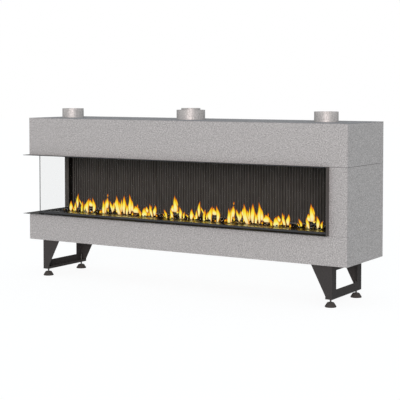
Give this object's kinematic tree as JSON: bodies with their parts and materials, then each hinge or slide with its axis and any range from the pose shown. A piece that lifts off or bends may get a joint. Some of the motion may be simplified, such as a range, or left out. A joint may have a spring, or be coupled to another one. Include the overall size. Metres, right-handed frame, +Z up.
{
  "type": "built-in gas fireplace",
  "caption": "Wide built-in gas fireplace in a galvanised casing on leg frames, glazed at the front and left end, with a ribbed back, stone bed, flue and duct collars.",
  "frame": {"origin": "On the floor, at the centre of the overall box seen from above", "axes": "+X to the right along the front, +Y to the back, +Z up"},
  "size_m": [2.523, 0.583, 1.207],
  "materials": {
    "galvanised_sheet": "galvanised, fine dull spangle",
    "collar_steel": "galvanised, brighter",
    "black_steel": "satin black powder coat",
    "foot_black": "satin black",
    "liner_black": "matt heat-proof black",
    "deck_black": "glossy black enamel",
    "clear_glass": "clear ceramic glass",
    "bed_stone": "rough black stone",
    "plain_steel": "zinc-plated",
    "brass_fitting": "satin",
    "valve_alloy": "cast",
    "black_plastic": "satin",
    "electrode_ceramic": "glazed white"
  },
  "bodies": {
    "casing": {"base_plate": "galvanised_sheet", "lower_front_panel": "galvanised_sheet", "lower_left_panel": "galvanised_sheet", "lower_right_panel": "galvanised_sheet", "rear_panel": "galvanised_sheet", "right_corner_panel": "galvanised_sheet", "upper_front_panel": "galvanised_sheet", "upper_left_panel": "galvanised_sheet", "upper_right_panel": "galvanised_sheet", "top_plate": "galvanised_sheet", "air_box": "galvanised_sheet", "left_duct_collar": "collar_steel", "right_duct_collar": "collar_steel", "flue_outer_collar": "collar_steel", "flue_inner_collar": "collar_steel", "top_flange_front": "black_steel", "top_flange_left": "black_steel", "bottom_flange_front": "black_steel", "bottom_flange_left": "black_steel", "right_flange_jamb": "black_steel", "rear_left_post": "black_steel", "firebox_shell": "black_steel", "firebox_roof": "black_steel", "baffle_plate": "black_steel", "burner_tray": "black_steel", "left_leg_frame": "black_steel", "right_leg_frame": "black_steel", "back_liner_left": "liner_black", "back_liner_centre": "liner_black", "back_liner_right": "liner_black", "deck_front": "deck_black", "deck_rear": "deck_black", "deck_left": "deck_black", "deck_right": "deck_black", "stone_bed": "bed_stone", "burner_tube_left": "plain_steel", "burner_tube_right": "plain_steel", "pilot_burner": "plain_steel", "flame_sensor": "plain_steel", "supply_pipe": "plain_steel", "gas_manifold": "brass_fitting", "tap_body": "brass_fitting", "gas_valve": "valve_alloy", "receiver_box": "black_plastic", "ignition_electrode": "electrode_ceramic"},
    "foot_front_left": {"foot_pad_front_left": "foot_black", "foot_spindle_front_left": "plain_steel"},
    "foot_rear_left": {"foot_pad_rear_left": "foot_black", "foot_spindle_rear_left": "plain_steel"},
    "foot_front_right": {"foot_pad_front_right": "foot_black", "foot_spindle_front_right": "plain_steel"},
    "foot_rear_right": {"foot_pad_rear_right": "foot_black", "foot_spindle_rear_right": "plain_steel"},
    "front_pane": {"front_glass": "clear_glass"},
    "left_pane": {"left_glass": "clear_glass"},
    "flap_left": {"relief_flap_left": "black_steel"},
    "flap_right": {"relief_flap_right": "black_steel"},
    "lever": {"tap_lever": "plain_steel"},
    "knob": {"control_knob": "black_plastic"}
  },
  "joints": [
    {"name": "foot_front_left_height", "type": "slide", "parent": "casing", "child": "foot_front_left", "axis": [0, 0, -1], "range_m": [-0.009, 0.04]},
    {"name": "foot_rear_left_height", "type": "slide", "parent": "casing", "child": "foot_rear_left", "axis": [0, 0, -1], "range_m": [-0.009, 0.04]},
    {"name": "foot_front_right_height", "type": "slide", "parent": "casing", "child": "foot_front_right", "axis": [0, 0, -1], "range_m": [-0.009, 0.04]},
    {"name": "foot_rear_right_height", "type": "slide", "parent": "casing", "child": "foot_rear_right", "axis": [0, 0, -1], "range_m": [-0.009, 0.04]},
    {"name": "front_pane_lift", "type": "slide", "parent": "casing", "child": "front_pane", "axis": [0, 0, 1], "range_m": [0, 0.014]},
    {"name": "left_pane_lift", "type": "slide", "parent": "casing", "child": "left_pane", "axis": [0, 0, 1], "range_m": [0, 0.014]},
    {"name": "flap_left_hinge", "type": "hinge", "parent": "casing", "child": "flap_left", "pos_m": [-0.6295, 0.051, 0.8706], "axis": [-1, 0, 0], "range_deg": [0, 50]},
    {"name": "flap_right_hinge", "type": "hinge", "parent": "casing", "child": "flap_right", "pos_m": [0.5705, 0.051, 0.8706], "axis": [-1, 0, 0], "range_deg": [0, 50]},
    {"name": "tap_turn", "type": "hinge", "parent": "casing", "child": "lever", "pos_m": [0.6115, 0.2215, 0.195], "axis": [0, 0, 1], "range_deg": [0, 90]},
    {"name": "knob_turn", "type": "hinge", "parent": "casing", "child": "knob", "pos_m": [1.1915, -0.07, 0.2958], "axis": [0, -1, 0], "range_deg": [0, 90]}
  ]
}
